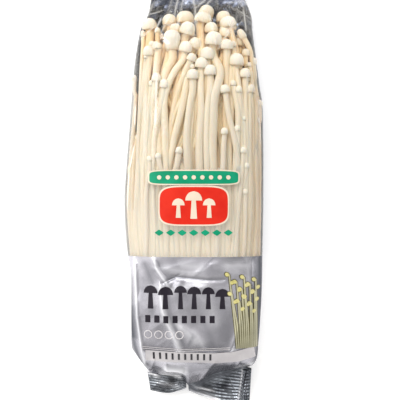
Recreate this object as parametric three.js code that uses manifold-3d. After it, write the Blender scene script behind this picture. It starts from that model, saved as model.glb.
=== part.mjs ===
// A bunch of enoki mushrooms in a film bag, lying on its back. Millimetres, Z up: X runs across the pack,
// Y along it from the cut base to the caps. The bag is a tube of film, clear over the mushrooms' front and
// printed silver elsewhere, crimped flat at both ends. The bunch fills it: thin stems that grow from one
// trimmed base, each with its own cap.
import * as THREE from "three";
import { mergeVertices } from "three/addons/utils/BufferGeometryUtils.js";
import Module from "manifold-3d";

const wasm = await Module();
wasm.setup();

// ---- Driving dimensions ----

// The filled bag: its left and right edges, its crown above the table and its underside, along Y.
const LEFT_EDGE = [
  [-82, -19.4], [-74, -24.6], [-68.8, -27.2], [-40.9, -27.1], [-25.8, -29.1], [-5.2, -30.1],
  [8.6, -29.2], [30.1, -27.6], [49.9, -26.1], [64.5, -24], [69.7, -22.8], [72.7, -21], [84, -18.5],
];
const RIGHT_EDGE = [
  [-82, 23.6], [-75.5, 27.2], [-67.5, 28], [-47.7, 29.2], [-25.8, 29.7], [5.2, 30.1],
  [22, 30], [36, 29.6], [43, 28.5], [56.8, 26.8], [67, 25.6], [74, 25.2], [84, 21.6],
];
const CROWN = [
  [-82, 7.6], [-77, 16], [-70, 24], [-58, 28], [-20, 29],
  [20, 28.6], [50, 27], [64, 24.5], [76, 16], [84, 7.6],
];
const UNDERSIDE = [[-82, 6.4], [-76, 1.6], [-68, 0], [64, 0], [76, 1.6], [84, 6.4]];
const WIDEST_SHARE = 0.45; // the bag is widest at this share of its height
const SECTION_POWER = 2.6; // 2 is an ellipse, more is boxier
const FLAT_SHARE = 1.14; // how far the underside is pressed flat
const ARCH = 0.5; // the underside stands this far off the table between the spots that touch it
const ARCH_RUN = 8; // and rises to that over this length round each spot
const SPOTS = [[-12.3, -46], [12.3, -46], [0, 48]]; // x and y of the three spots
const SPOT_HALF = [5, 8]; // each spot's half width and half length
const FILM = 0.6;
const BAG_SIDES = 36;

// Where the clear window ends.
const PRINT_LINE = -29.7;
const WINDOW_TOP = 81;
const WINDOW_GAP = 0.3;

// Crimped end seals: the upper left, upper right, lower left and lower right corners of each flat lobe.
const SEAL_THICK = 1.2;
const CRIMP_PITCH = 1.7;
const CRIMP_DEPTH = 0.35;
const SEAL_LOBES = [
  [[-19.7, -80.6, 7], [-2.4, -80.6, 7], [-18.8, -89.6, 5], [-3.6, -90, 4]],
  [[-3.4, -80.2, 7], [24.4, -79.4, 7], [-2.6, -88, 8.4], [22.7, -94.5, 6]],
  [[-18.6, 94.5, 7], [21.4, 94.5, 7], [-18.4, 83, 7], [21.6, 83, 7]],
];

// The bunch inside the bag.
const BUNCH_CLEAR = 0.5; // from the film
// The dense middle: the share of the room that it takes at y, from the trimmed cut up.
const CORE_SHARE = [
  [-73.5, 0.9], [-64, 0.955], [-38, 0.96], [-27, 0.86], [-4, 0.72], [14, 0.5], [30, 0.2],
];
const FLUTES = 30;
const FLUTE_DEPTH = 0.8;
const ROOT_Y = -38; // stems start inside the dense middle here,
const ROOT_DEPTH = 0.82; // at this share of the way out from its axis at the front and back,
const ROOT_SPREAD = 0.92; // and this share at the sides
const EDGE_SHARE = 0.98; // no stem or cap lies further across the room than this share
const LEAN_RUN = 3.5; // the length of stem that leans with its cap
const STEM_SHARE = 0.36; // a stem's width is this share of its cap's width,
const STEM_LEAST = 1; // and this much more
const STEM_FULL_Y = 10; // a stem has its full width from here up
const STEM_BASE = 0.72; // a stem's width at the print line, as a share of its width above
const HIDDEN_MUSHROOMS = 14;
const SEED = 4821;

// A cap's rings from the neck up: rise as a share of its height, and reach as a share of its radius.
const CAP_RINGS = [[0, 0.78], [0.2, 1], [0.68, 0.78]];
const CAP_TILT = 0.28; // how far the front caps tip forwards, as a slope

// The mushrooms whose caps show at the front: the cap's x, y, width, height and lean to the right in
// degrees, the cap's depth under its neighbours and the depth that its stem sinks to, then the x of its stem
// at those of the course stations that lie below its cap, from the highest down.
const COURSE_STATIONS = [48.5, 34, 17.5, 0];
const FRONT_MUSHROOMS = [
  [5.7, 76.5, 7, 5.6, 28, 6, 6, [5, 4.5, 4, 4]],
  [12.8, 74.1, 6.8, 5.1, -4, 5, 6, [15, 15, 15, 15]],
  [-3.8, 73.7, 8, 5.4, 0, 2.8, 6, [-4.5, -5.5, -5.5, -5.5]],
  [4.1, 73, 7.6, 4.8, 14, 1.2, 3, [4, 1, -0.5, 0]],
  [-10.7, 72.5, 6.3, 4.7, -6, 3.2, 4.5, [-15.5, -15.5, -15, -15.5]],
  [14.5, 70.9, 7.4, 4.7, -12, 0.6, 3.6, [19, 18.5, 19.5, 20]],
  [-19.4, 70.5, 6.7, 5.1, -4, 0.5, 2.2, [-20, -20.5, -20, -20.5]],
  [7.4, 68.2, 5.9, 4.5, -4, 2.6, 5, [7, 7, 7, 7]],
  [-8.1, 68, 5, 4.3, 0, 4.2, 6, [-8, -10, -11, -11.5]],
  [-2.6, 67.4, 6.9, 5.8, 16, 0.3, 4, [-6, -8, -9.5, -10]],
  [-15.6, 67.1, 2.6, 2.2, 0, 3.4, 5, [-16, -16, -16.5, -17]],
  [-22.1, 66.1, 2.4, 2.8, -2, 1.6, 0.8, [-22.5, -23, -23.5, -23.5]],
  [13.2, 66, 5, 4, 8, 3.4, 4.5, [13.5, 11.5, 11.5, 12]],
  [20.3, 65.5, 3.5, 4.4, -30, 2.2, 1, [27, 28, 28.5, 28.5]],
  [8.4, 62.8, 7.7, 6, 4, 0.1, 0.4, [11, 8, 8, 8.5]],
  [-9.3, 62, 7.1, 8.8, -2, 0.2, 2.4, [-12, -14, -14.5, -15]],
  [0.6, 60.9, 5.9, 4.9, 24, 3, 1.6, [-2.5, -5, -8.5, -10.5]],
  [14.1, 60.1, 5.3, 4.4, 2, 0.4, 3, [13.5, 13.5, 14, 14]],
  [-16.3, 60, 4.1, 3.9, 0, 2.8, 3.4, [-16.5, -18, -18.5, -18]],
  [-3.3, 59, 5.9, 4.9, 12, 0.8, 1.2, [-8, -12.5, -12, -11.5]],
  [-19.3, 57.7, 4.8, 4.4, -2, 0.3, 0.8, [-20, -20, -20, -20]],
  [22.2, 57.4, 3.4, 3.4, 0, 2.8, 1.8, [24.5, 24.5, 24.5, 24.5]],
  [5.9, 56.3, 6.6, 5.4, 2, 0.9, 3, [5.5, 4.5, 4, 4.5]],
  [-0.8, 54.3, 4.1, 3.5, 18, 0.9, 2.6, [-3.5, -8, -10.5, -11]],
  [18.1, 53.9, 6.5, 5.3, 2, 0.1, 2.6, [17, 15.5, 14.5, 15]],
  [25.9, 53.8, 2.8, 3.3, 4, 1.6, 0.8, [26, 26.5, 26.5, 27]],
  [3.3, 52, 5.6, 4.6, 6, 0.5, 0.6, [3, 3, 2, 2.5]],
  [-0.7, 50.6, 2.5, 2.1, 0, 2.2, 2.6, [-1, -0.5, -1.5, -1]],
  [7, 48.9, 5.4, 4.5, 0, 0.1, 0.5, [6, 5.5, 5.5]],
  [21.6, 48.2, 4.9, 4.1, 0, 0.1, 0.9, [21.5, 22, 22]],
  [-0.4, 47.1, 5.1, 4.4, 0, 0.1, 0.3, [-1.5, -3, -2.5]],
  [-25.6, 46.6, 2.2, 2.2, 0, 0.3, 0.2, [-26, -27, -27.5]],
  [-15.8, 45.9, 4, 3.7, 4, 0.1, 1.6, [-17.5, -18, -18]],
  [-12.5, 43.2, 4, 3.8, 6, 0.3, 1, [-14, -17, -17]],
  [24.3, 41.6, 3.9, 3.6, 8, 0.1, 0.4, [23.5, 23.5, 23.5]],
  [19, 40.9, 3, 2.9, 0, 0.6, 2.2, [19.5, 20, 20.5]],
  [13, 40.9, 4.2, 3.5, -10, 0.1, 0, [14, 17.5, 18]],
  [27.9, 35.7, 3.3, 2.9, 0, 0.1, 0.3, [27.5, 28]],
  [26.7, 28.4, 3.1, 2.6, 4, 0.1, 0.6, [26.5, 26.5]],
  [18.2, 24.3, 2.7, 2.6, 0, 0.3, 1.2, [18.5, 18.5]],
  [12.8, 23, 3.1, 2.9, -2, 0.1, 0.4, [12.5, 11.5]],
  [20.8, 15.1, 2.9, 2.6, 4, 0.1, 0.3, [19.5]],
  [-6.1, 15, 3, 2.8, 10, 0.1, 0.2, [-9]],
  [-15, 12.7, 2.5, 2.3, -10, 0.1, 0.3, [-11.5]],
  [-18.7, 11.5, 2.4, 2.2, -4, 0.1, 0.3, [-19.5]],
  [22.2, 8.7, 2.6, 2.4, 6, 0.1, 0.2, [21]],
  [19.2, 7.9, 1.7, 1.7, 0, 1, 0.8, [19]],
  [21.5, -2.3, 2.5, 2.3, 0, 0.1, 0.2, []],
];

const COLOURS = {
  mushroom_bunch: { color: 0xf3e6cf, roughness: 0.5, metalness: 0 },
  printed_film: { color: 0xb2afb8, roughness: 0.3, metalness: 0.6 },
  window_film: { color: 0xdfe2ea, roughness: 0.08, metalness: 0, transparent: true, opacity: 0.3 },
};

// ---- Shared shapes ----

// The height of a smooth line through hand-set points, each [along, height], level past both ends.
function follow(points, along) {
  const last = points.length - 1;
  if (along <= points[0][0]) return points[0][1];
  if (along >= points[last][0]) return points[last][1];
  const i = points.findIndex((p) => p[0] > along) - 1;
  const steepness = (k) => (points[k + 1][1] - points[k][1]) / (points[k + 1][0] - points[k][0]);
  const slope = (k) => {
    const before = steepness(Math.max(k - 1, 0));
    const after = steepness(Math.min(k, last - 1));
    return before * after > 0 ? (before + after) / 2 : 0;
  };
  const span = points[i + 1][0] - points[i][0];
  const t = (along - points[i][0]) / span;
  const ease = t * t * (3 - 2 * t);
  const rise = t * (1 - t) * ((1 - t) * slope(i) - t * slope(i + 1)) * span;
  return points[i][1] + (points[i + 1][1] - points[i][1]) * ease + rise;
}

// A closed skin over rings of equal count, with a flat fan over each end, or up to a crown over the last.
function loft(rings, crown) {
  const sides = rings[0].length;
  const vertices = rings.flat();
  const middle = (ring) => ring.reduce((sum, p) => sum.add(p), new THREE.Vector3()).divideScalar(sides);
  const first = vertices.push(middle(rings[0])) - 1;
  const last = vertices.push(crown ?? middle(rings.at(-1))) - 1;
  const top = (rings.length - 1) * sides;
  const faces = [];
  for (let j = 0; j < sides; j++) {
    const k = (j + 1) % sides;
    for (let i = 0; i < top; i += sides) {
      faces.push(i + j, i + k, i + sides + k, i + j, i + sides + k, i + sides + j);
    }
    faces.push(first, k, j, last, top + j, top + k);
  }
  return new THREE.BufferGeometry().setFromPoints(vertices).setIndex(faces);
}

// A geometry as a solid that can be joined and cut, turned right side out if need be.
function solid(geometry) {
  const merged = mergeVertices(geometry, 1e-4);
  const triVerts = new Uint32Array(merged.index.array);
  const vertProperties = merged.attributes.position.array;
  const made = new wasm.Manifold(new wasm.Mesh({ numProp: 3, vertProperties, triVerts }));
  if (made.volume() > 0) return made;
  return new wasm.Manifold(new wasm.Mesh({ numProp: 3, vertProperties, triVerts: triVerts.reverse() }));
}

function fuse(solids) {
  return solids.reduce((joined, next) => joined.add(next));
}

// The named mesh of a solid, less any loose scrap.
function meshOf(name, shape) {
  const body = shape.decompose().sort((a, b) => b.volume() - a.volume())[0];
  const { vertProperties, triVerts } = body.getMesh();
  const geometry = new THREE.BufferGeometry();
  geometry.setAttribute("position", new THREE.BufferAttribute(new Float32Array(vertProperties), 3));
  geometry.setIndex(new THREE.BufferAttribute(new Uint32Array(triVerts), 1));
  geometry.computeVertexNormals();
  const mesh = new THREE.Mesh(geometry, new THREE.MeshStandardMaterial(COLOURS[name]));
  mesh.name = name;
  return mesh;
}

// ---- The bag ----

// The bag's section at y, kept in by an inset: its middle, half width, widest level, top and bottom.
function section(y, inset) {
  const left = follow(LEFT_EDGE, y) + inset;
  const right = follow(RIGHT_EDGE, y) - inset;
  const bottom = follow(UNDERSIDE, y) + inset;
  const top = follow(CROWN, y) - inset;
  return {
    centre: (left + right) / 2,
    half: (right - left) / 2,
    bottom,
    top,
    level: bottom + WIDEST_SHARE * (top - bottom),
  };
}

const roundedOut = (share) => Math.sign(share) * Math.abs(share) ** (2 / SECTION_POWER);

// How far the underside stands off the table at x, y: none on a spot, the whole arch well away from all.
function arch(x, y) {
  const away = SPOTS.map((spot) =>
    Math.max(Math.abs(x - spot[0]) - SPOT_HALF[0], Math.abs(y - spot[1]) - SPOT_HALF[1], 0),
  );
  return ARCH * Math.min(Math.min(...away) / ARCH_RUN, 1);
}

function bagRing(y, inset) {
  const { centre, half, bottom, top, level } = section(y, inset);
  return Array.from({ length: BAG_SIDES }, (_, i) => {
    const angle = ((i + 0.5) / BAG_SIDES) * 2 * Math.PI;
    const x = centre + half * roundedOut(Math.cos(angle));
    const up = roundedOut(Math.sin(angle));
    if (up > 0) return new THREE.Vector3(x, y, level + up * (top - level));
    const down = level + Math.max(up * FLAT_SHARE, -1) * (level - bottom);
    return new THREE.Vector3(x, y, Math.max(down, inset + arch(x, y)));
  });
}

function bagSkin(from, to, inset) {
  const stations = [from];
  for (const y of [-80, -77.5, -75, -72, -68, -62, -52, -40, -26, -10, 8, 26, 42, 54, 63, 70, 75, 79, 82]) {
    if (y > from + 0.5 && y < to - 0.5) stations.push(y);
  }
  stations.push(to);
  return solid(loft(stations.map((y) => bagRing(y, inset))));
}

// A flat lobe of seal between four corners, with ridges that run across it.
function sealLobe(corners) {
  const [upperLeft, upperRight, lowerLeft, lowerRight] = corners.map((c) => new THREE.Vector3(...c));
  const steps = 2 * Math.round(upperLeft.distanceTo(lowerLeft) / CRIMP_PITCH);
  const across = 4;
  const rings = [];
  for (let i = 0; i <= steps; i++) {
    const start = upperLeft.clone().lerp(lowerLeft, i / steps);
    const end = upperRight.clone().lerp(lowerRight, i / steps);
    const ridge = ((i % 2) - 0.5) * CRIMP_DEPTH;
    const row = (lift) =>
      Array.from({ length: across + 1 }, (_, k) => {
        const point = start.clone().lerp(end, k / across);
        point.z += ridge + lift + 0.5 * Math.sin((k / across) * 2 * Math.PI);
        return point;
      });
    rings.push([...row(SEAL_THICK / 2), ...row(-SEAL_THICK / 2).reverse()]);
  }
  return solid(loft(rings));
}

// The film on the window's side of the print line and of the bag's widest level, grown by a gap.
function windowRegion(gap) {
  const sideLevel = (y) => section(y, 0).level;
  const outline = new THREE.Shape();
  outline.moveTo(PRINT_LINE - gap, sideLevel(PRINT_LINE) - gap);
  for (const y of [20, 50, 64, 74]) outline.lineTo(y, sideLevel(y) - gap);
  outline.lineTo(WINDOW_TOP + gap, sideLevel(WINDOW_TOP) - gap);
  outline.lineTo(WINDOW_TOP + gap, 40);
  outline.lineTo(PRINT_LINE - gap, 40);
  const prism = new THREE.ExtrudeGeometry(outline, { depth: 80, bevelEnabled: false });
  prism.deleteAttribute("normal");
  prism.deleteAttribute("uv");
  prism.translate(0, 0, -40);
  const toBag = new THREE.Matrix4().makeBasis(
    new THREE.Vector3(0, 1, 0), new THREE.Vector3(0, 0, 1), new THREE.Vector3(1, 0, 0),
  );
  return solid(prism.applyMatrix4(toBag));
}

function bag() {
  const outside = bagSkin(-82, 84, 0);
  const inside = bagSkin(-79.6, 81.8, FILM);
  const film = outside.subtract(inside);
  const clear = film.intersect(windowRegion(0));
  const seals = SEAL_LOBES.map((corners) => sealLobe(corners).subtract(inside));
  const printed = fuse([film.subtract(windowRegion(WINDOW_GAP)), ...seals]);
  return [meshOf("printed_film", printed), meshOf("window_film", clear)];
}

// ---- The mushrooms ----

// An even draw between 0 and 1 from a multiplicative generator.
let drawn = SEED;
function draw() {
  drawn = (drawn * 16807) % 2147483647;
  return drawn / 2147483647;
}

const between = (low, high) => low + (high - low) * draw();

// A point in the bunch: across and up are shares, from -1 to 1, of the room inside the bag at y.
function inBunch(across, up, y, spare) {
  const { centre, half, bottom, top, level } = section(y, FILM + BUNCH_CLEAR + spare);
  const tall = up > 0 ? top - level : level - bottom;
  return new THREE.Vector3(centre + across * half, y, level + up * tall);
}

// The point at x, y that lies a sink below the front of the room, with some to spare.
function underFront(x, y, spare, sink) {
  const { centre, half, level } = section(y, FILM + BUNCH_CLEAR + spare);
  const across = THREE.MathUtils.clamp((x - centre) / half, -EDGE_SHARE, EDGE_SHARE);
  const point = inBunch(across, (1 - Math.abs(across) ** SECTION_POWER) ** (1 / SECTION_POWER), y, spare);
  point.z = Math.max(point.z - sink, level);
  return point;
}

function circle(middle, axis, radius, sides) {
  const side = new THREE.Vector3(axis.y, -axis.x, 0).normalize();
  const lift = side.clone().cross(axis).normalize();
  return Array.from({ length: sides }, (_, i) => {
    const angle = (i / sides) * 2 * Math.PI;
    const out = side.clone().multiplyScalar(Math.cos(angle)).addScaledVector(lift, Math.sin(angle));
    return middle.clone().addScaledVector(out, radius);
  });
}

// One mushroom as one closed skin: a stem along a line of points, the cap's underside, rim and dome.
function mushroom(line, tip, { capWidth, capHeight, stemWidth, sides }) {
  const last = line.length - 1;
  const rings = line.map((point, i) => {
    const axis = i === last ? tip : line[i + 1].clone().sub(line[Math.max(i - 1, 0)]).normalize();
    const grown = THREE.MathUtils.smoothstep(point.y, ROOT_Y, STEM_FULL_Y);
    return circle(point, axis, (stemWidth / 2) * THREE.MathUtils.lerp(STEM_BASE, 1, grown), sides);
  });
  for (const [rise, reach] of CAP_RINGS) {
    const middle = line[last].clone().addScaledVector(tip, capHeight * rise);
    rings.push(circle(middle, tip, (capWidth / 2) * reach, sides));
  }
  return solid(loft(rings, line[last].clone().addScaledVector(tip, capHeight)));
}

const stemWidth = (capWidth) => STEM_SHARE * capWidth + STEM_LEAST;

// A mushroom whose cap shows at the front, with its root in the given lane, an even share across.
function frontMushroom([x, y, capWidth, capHeight, leanDegrees, depth, sink, course], lane) {
  const lean = THREE.MathUtils.degToRad(leanDegrees);
  const tip = new THREE.Vector3(Math.sin(lean), Math.cos(lean), CAP_TILT).normalize();
  const neck = underFront(x, y, capWidth / 2, depth).addScaledVector(tip, -capHeight / 2);
  const spare = stemWidth(capWidth) / 2;
  const stations = COURSE_STATIONS.slice(COURSE_STATIONS.length - course.length);
  const line = stations.map((at, i) => underFront(course[i], at, spare, sink)).reverse();
  const { centre, half } = section(ROOT_Y, FILM + BUNCH_CLEAR + spare);
  const foot = (0.6 * lane + (0.4 * ((course.at(-1) ?? x) - centre)) / half) * ROOT_SPREAD;
  line.unshift(inBunch(foot, (1 - Math.abs(foot) ** SECTION_POWER) * ROOT_DEPTH, ROOT_Y, spare));
  if (neck.y - line.at(-1).y > LEAN_RUN * 2) line.push(neck.clone().addScaledVector(tip, -LEAN_RUN));
  line.push(neck);
  return mushroom(line, tip, { capWidth, capHeight, stemWidth: 2 * spare, sides: capWidth > 6.5 ? 6 : 5 });
}

function frontMushrooms() {
  const across = (row) => row[7].at(-1) ?? row[0];
  const inOrder = [...FRONT_MUSHROOMS].sort((a, b) => across(a) - across(b));
  return inOrder.map((row, i) => frontMushroom(row, ((2 * i + 1) / inOrder.length - 1) * 0.97));
}

// Mushrooms round the sides and back, spread evenly with a little play.
function hiddenMushroom(index) {
  const turn = Math.PI * (0.97 + (1.06 * (index + between(0.2, 0.8))) / HIDDEN_MUSHROOMS);
  const reach = between(0.88, 0.97);
  const across = roundedOut(Math.cos(turn));
  const up = roundedOut(Math.sin(turn));
  const capWidth = between(3.4, 6.4);
  const capHeight = capWidth * between(0.72, 0.9);
  const y = between(38, 70);
  const tip = new THREE.Vector3(between(-0.15, 0.15), 1, 0).normalize();
  const neck = inBunch(across * reach, up * reach, y, capWidth / 2).addScaledVector(tip, -capHeight / 2);
  const line = [
    inBunch(across * ROOT_DEPTH, up * ROOT_DEPTH, ROOT_Y, 1),
    inBunch(across * 0.92, up * 0.92, 10, stemWidth(capWidth) / 2),
    neck,
  ];
  return mushroom(line, tip, { capWidth, capHeight, stemWidth: stemWidth(capWidth), sides: 5 });
}

// The dense middle and trimmed base, fluted like the stems that lie side by side on it.
function core() {
  const rings = CORE_SHARE.map(([y, share]) => {
    const { centre, half, bottom, top, level } = section(y, FILM + BUNCH_CLEAR);
    const steps = 2 * FLUTES;
    return Array.from({ length: steps }, (_, i) => {
      const angle = (i / steps) * 2 * Math.PI;
      const across = roundedOut(Math.cos(angle));
      const up = roundedOut(Math.sin(angle));
      const tall = up > 0 ? top - level : level - bottom;
      const groove = i % 2 ? FLUTE_DEPTH : 0;
      return new THREE.Vector3(
        centre + across * (half * share - groove),
        y,
        level + up * (tall * share - groove),
      );
    });
  });
  return solid(loft(rings));
}

function bunch() {
  const hidden = Array.from({ length: HIDDEN_MUSHROOMS }, (_, i) => hiddenMushroom(i));
  return meshOf("mushroom_bunch", fuse([core(), ...frontMushrooms(), ...hidden]));
}

const pack = new THREE.Group();
pack.name = "enoki_pack";
pack.add(bunch(), ...bag());

export default pack;
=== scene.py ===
import math

import bpy
import numpy as np
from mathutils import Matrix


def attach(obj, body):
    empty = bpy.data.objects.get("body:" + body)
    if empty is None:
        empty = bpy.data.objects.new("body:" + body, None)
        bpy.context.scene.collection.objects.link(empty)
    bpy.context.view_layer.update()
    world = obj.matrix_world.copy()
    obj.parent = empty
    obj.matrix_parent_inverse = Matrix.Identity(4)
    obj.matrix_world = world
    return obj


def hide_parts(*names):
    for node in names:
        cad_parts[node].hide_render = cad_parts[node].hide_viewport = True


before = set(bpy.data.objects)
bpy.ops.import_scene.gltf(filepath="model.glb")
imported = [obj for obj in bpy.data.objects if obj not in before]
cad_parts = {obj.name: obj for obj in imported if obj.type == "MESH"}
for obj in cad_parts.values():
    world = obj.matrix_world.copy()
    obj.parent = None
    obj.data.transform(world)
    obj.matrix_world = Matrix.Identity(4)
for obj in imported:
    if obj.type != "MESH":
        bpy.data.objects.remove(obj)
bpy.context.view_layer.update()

# ---- Table, light and camera ----
# A pale table under a soft white surround that is dimmer straight overhead. Two lamps stand beyond the caps
# on the left: a broad one, and a narrow one for glints along the film. The camera looks straight down.
MM = 0.001


def new_material(name):
    """A new material, its node tree, and the output that is all there is in that tree."""
    material = bpy.data.materials.new(name)
    material.use_nodes = True
    tree = material.node_tree
    tree.nodes.clear()
    return material, tree, tree.nodes.new("ShaderNodeOutputMaterial")


def add(tree, kind, values=()):
    """A new shader node of a kind, with the given values on its input sockets."""
    node = tree.nodes.new("ShaderNode" + kind)
    for socket, value in dict(values).items():
        node.inputs[socket].default_value = value
    return node


def join(tree, *joints):
    """Links nodes: each joint is a node, its output, the next node and that one's input."""
    for source, output, target, socket in joints:
        tree.links.new(source.outputs[output], target.inputs[socket])


def colour_ramp(tree, stops):
    """A colour ramp with one stop for each (position, colour)."""
    ramp = add(tree, "ValToRGB")
    marks = ramp.color_ramp.elements
    while len(marks) < len(stops):
        marks.new(0.5)
    for mark, (position, colour) in zip(marks, stops):
        mark.position = position
        mark.color = (*colour, 1)
    return ramp


def mottle(tree, noise, stops):
    """A tone that wanders with a noise over the piece, through the colours of the stops."""
    place, wander = add(tree, "TexCoord"), add(tree, "TexNoise", noise)
    tone = colour_ramp(tree, stops)
    join(tree, (place, "Object", wander, "Vector"), (wander, "Fac", tone, "Fac"))
    return tone


def table_finish():
    """Matt white with the faintest mottle, softly lit through from below."""
    material, tree, output = new_material("table")
    tone = mottle(tree, {"Scale": 12}, [(0, (0.93, 0.93, 0.93)), (1, (0.96, 0.96, 0.96))])
    surface = add(tree, "BsdfPrincipled", {
        "Roughness": 0.9, "Specular IOR Level": 0.1,
        "Emission Color": (1, 1, 1, 1), "Emission Strength": 0.34,
    })
    join(tree, (tone, "Color", surface, "Base Color"), (surface, "BSDF", output, "Surface"))
    return material


def surround():
    """White light from all round. Its colour goes by the sine of the height above the horizon: full from 0.4
    to 0.82, and dimmer towards the horizon and the zenith. Its strength goes by the direction's share
    towards the far left, beyond the caps: 0.5 at -0.7 and 1.6 at 0.5."""
    world = bpy.data.worlds.new("soft_surround")
    world.use_nodes = True
    tree = world.node_tree
    backdrop = tree.nodes["Background"]
    place, split = add(tree, "TexCoord"), add(tree, "SeparateXYZ")
    by_height = colour_ramp(tree, [
        (0.0, (0.5, 0.5, 0.52)), (0.16, (0.66, 0.66, 0.66)), (0.4, (1.0, 0.99, 0.97)),
        (0.82, (1.0, 0.99, 0.96)), (0.94, (0.77, 0.76, 0.75)), (0.985, (0.56, 0.55, 0.55)),
        (1.0, (0.46, 0.45, 0.45)),
    ])
    towards = add(tree, "VectorMath", {1: (-0.5, 0.87, 0)})
    towards.operation = "DOT_PRODUCT"
    by_side = add(tree, "MapRange", {
        "From Min": -0.7, "From Max": 0.5, "To Min": 0.5, "To Max": 1.6,
    })
    join(tree, (place, "Generated", split, "Vector"), (split, "Z", by_height, "Fac"),
         (place, "Generated", towards, 0), (towards, "Value", by_side, "Value"),
         (by_height, "Color", backdrop, "Color"), (by_side, "Result", backdrop, "Strength"))
    bpy.context.scene.world = world


def stand(name, data):
    """A new object in the scene that shows data."""
    holder = bpy.data.objects.new(name, data)
    bpy.context.scene.collection.objects.link(holder)
    return holder


def lamp(name, spot, aim, size, power):
    """An area lamp at spot that faces aim: tipped by the angle of its way there from straight down, and
    turned to that way's heading."""
    light = bpy.data.lights.new(name, "AREA")
    light.shape = "RECTANGLE"
    light.size, light.size_y = size
    light.energy = power
    holder = stand(name, light)
    holder.location = spot
    away = np.array(spot) - np.array(aim)
    flat = math.hypot(away[0], away[1])
    holder.rotation_euler = (math.atan2(flat, away[2]), 0, math.atan2(away[0], -away[1]))


def table():
    """A flat square that the pack lies on, wider than the frame."""
    reach = 2.0
    corners = [(-reach, -reach, 0), (reach, -reach, 0), (reach, reach, 0), (-reach, reach, 0)]
    mesh = bpy.data.meshes.new("table")
    mesh.from_pydata(corners, [], [(0, 1, 2, 3)])
    mesh.materials.append(table_finish())
    floor = stand("table", mesh)


table()
surround()
lamp("broad", (-0.3, 0.5, 0.7), (0, 0, 0), (0.9, 0.6), 3.2)
lamp("narrow", (-0.3, 0.55, 0.5), (0, 0.06, 0.02), (0.05, 0.3), 0.6)
bpy.context.scene.view_settings.view_transform = "Standard"

FRAME_PIXELS = 400
PIXEL = 0.43 * MM  # of the frame, at the pack's middle height
CENTRE_X, CENTRE_Y = 2.6 * MM, -6.0 * MM
FOCUS_HEIGHT = 15 * MM


def camera():
    """Straight down, far enough for the frame to span its pixels at the pack's middle height: frame width
    times focal length over sensor width."""
    lens = bpy.data.cameras.new("camera")
    lens.lens = 85
    lens.sensor_width = 36
    lens.clip_start = 0.01
    holder = stand("camera", lens)
    away = FRAME_PIXELS * PIXEL * lens.lens / lens.sensor_width
    holder.location = (CENTRE_X, CENTRE_Y, FOCUS_HEIGHT + away)
    bpy.context.scene.camera = holder


camera()

# ---- The bag's form ----
# The filled bag is one tube of thin film that the bunch holds out, pressed flat where it lies, and drawn in
# flat at its two crimped ends. Every film piece and every print is laid on this form. Sizes in millimetres.
LEFT_EDGE = [
    (-82, -19.4), (-74, -24.6), (-68.8, -27.2), (-40.9, -27.1), (-25.8, -29.1), (-5.2, -30.1),
    (8.6, -29.2), (30.1, -27.6), (49.9, -26.1), (64.5, -24), (69.7, -22.8), (72.7, -21), (84, -18.5),
]
RIGHT_EDGE = [
    (-82, 23.6), (-75.5, 27.2), (-67.5, 28), (-47.7, 29.2), (-25.8, 29.7), (5.2, 30.1),
    (22, 30), (36, 29.6), (43, 28.5), (56.8, 26.8), (67, 25.6), (74, 25.2), (84, 21.6),
]
CROWN = [
    (-82, 7.6), (-77, 16), (-70, 24), (-58, 28), (-20, 29),
    (20, 28.6), (50, 27), (64, 24.5), (76, 16), (84, 7.6),
]
UNDERSIDE = [(-82, 6.4), (-76, 1.6), (-68, 0), (64, 0), (76, 1.6), (84, 6.4)]
WIDEST_SHARE = 0.45  # of the height at which the section is widest
SECTION_POWER = 2.6  # of its oval: 2 is an ellipse, more is squarer
FLAT_SHARE = 1.14  # its lower half is this much too deep, and cut off flat
EDGE_ON = 0.985  # the share of the half width past which the film counts as edge-on


def follow(points, along):
    """Height of a smooth line through points (a, h): a cubic on each span, h0 + (h1-h0)(3t^2-2t^3)
    + t(1-t)((1-t)s0 - t s1)(a1-a0), where s is the mean of the two neighbour slopes, or 0 at a turn."""
    a, h = np.array(points, float).T
    steep = np.diff(h) / np.diff(a)
    before, after = np.r_[steep[0], steep], np.r_[steep, steep[-1]]
    slope = np.where(before * after > 0, (before + after) / 2, 0)
    at = np.clip(np.asarray(along, float), a[0], a[-1])
    i = np.clip(np.searchsorted(a, at, side="right") - 1, 0, len(a) - 2)
    span = a[i + 1] - a[i]
    t = (at - a[i]) / span
    rise = t * (1 - t) * ((1 - t) * slope[i] - t * slope[i + 1]) * span
    return h[i] + (h[i + 1] - h[i]) * t * t * (3 - 2 * t) + rise


def section(y, inset):
    """Middle, half width, widest level, top and bottom of the bag at y, each kept in by inset."""
    left, right = follow(LEFT_EDGE, y) + inset, follow(RIGHT_EDGE, y) - inset
    bottom, top = follow(UNDERSIDE, y) + inset, follow(CROWN, y) - inset
    return (left + right) / 2, (right - left) / 2, bottom + WIDEST_SHARE * (top - bottom), top, bottom


def rounded(share):
    """sign(s) |s|^(2/p): a cosine or sine bent from a circle to a squarer oval."""
    return np.sign(share) * np.abs(share) ** (2 / SECTION_POWER)


def bag_point(turn, y, inset):
    """A point of the bag's skin round the section by turn, 0 at the right side, a quarter turn at the front:
    x = middle + half cos^(2/p), z = level + (top - level) sin^(2/p), or, below the level,
    level - (level - bottom) min(f |sin|^(2/p), 1), where f flattens it."""
    centre, half, level, top, bottom = section(y, inset)
    up = rounded(np.sin(turn))
    height = np.where(up > 0, up * (top - level), np.maximum(up * FLAT_SHARE, -1) * (level - bottom))
    return np.stack([centre + half * rounded(np.cos(turn)), y + 0 * turn, level + height], -1)


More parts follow.
